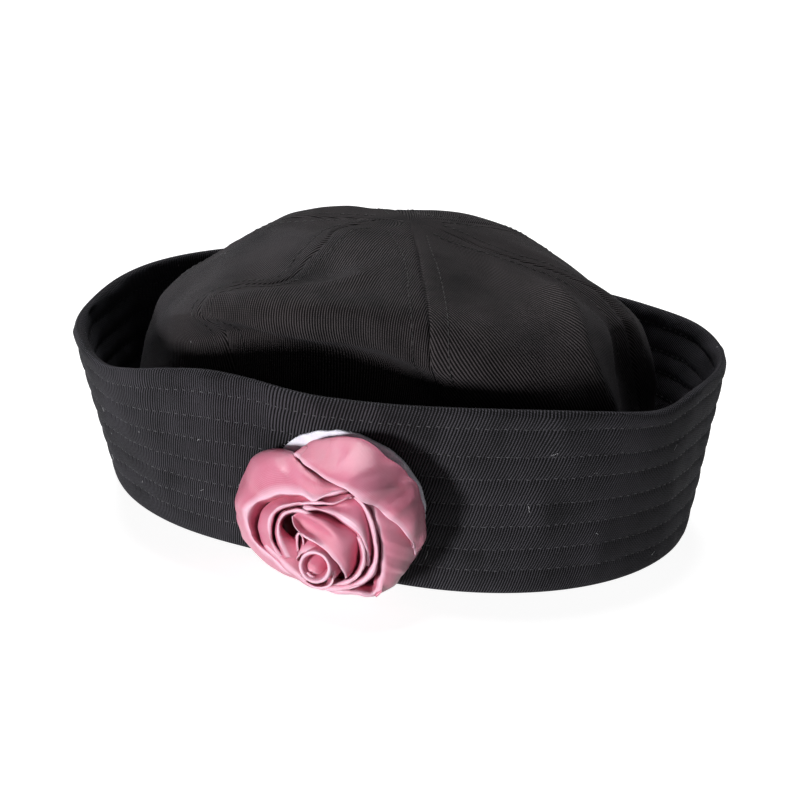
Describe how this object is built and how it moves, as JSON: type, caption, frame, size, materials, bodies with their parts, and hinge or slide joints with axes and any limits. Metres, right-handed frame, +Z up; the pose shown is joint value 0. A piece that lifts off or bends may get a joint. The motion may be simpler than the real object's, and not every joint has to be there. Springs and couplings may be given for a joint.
{
  "type": "sailor cap",
  "caption": "Soft sailor cap of dark twill with a gored crown, a turned-up quilted brim and a ribbon rose on a felt disc, worn on the head.",
  "frame": {"origin": "middle of the bounding box in X and Y, on the surface that the cap rests on", "axes": "+Z up to the crown, -Y to the wearer's front, -X to the wearer's right, where the rose is"},
  "size_m": [0.2146, 0.234, 0.103],
  "materials": {
    "crown_twill": "matt cotton twill, nearly black",
    "brim_twill": "matt cotton twill, nearly black, stitched in rows",
    "felt": "matt white felt",
    "satin": "glossy pink satin ribbon"
  },
  "bodies": {
    "root": {"crown": "crown_twill", "brim": "brim_twill", "rose_felt": "felt", "rose_bud": "satin", "rose_inner_petals": "satin", "rose_middle_petals": "satin", "rose_outer_petals": "satin"}
  },
  "joints": []
}
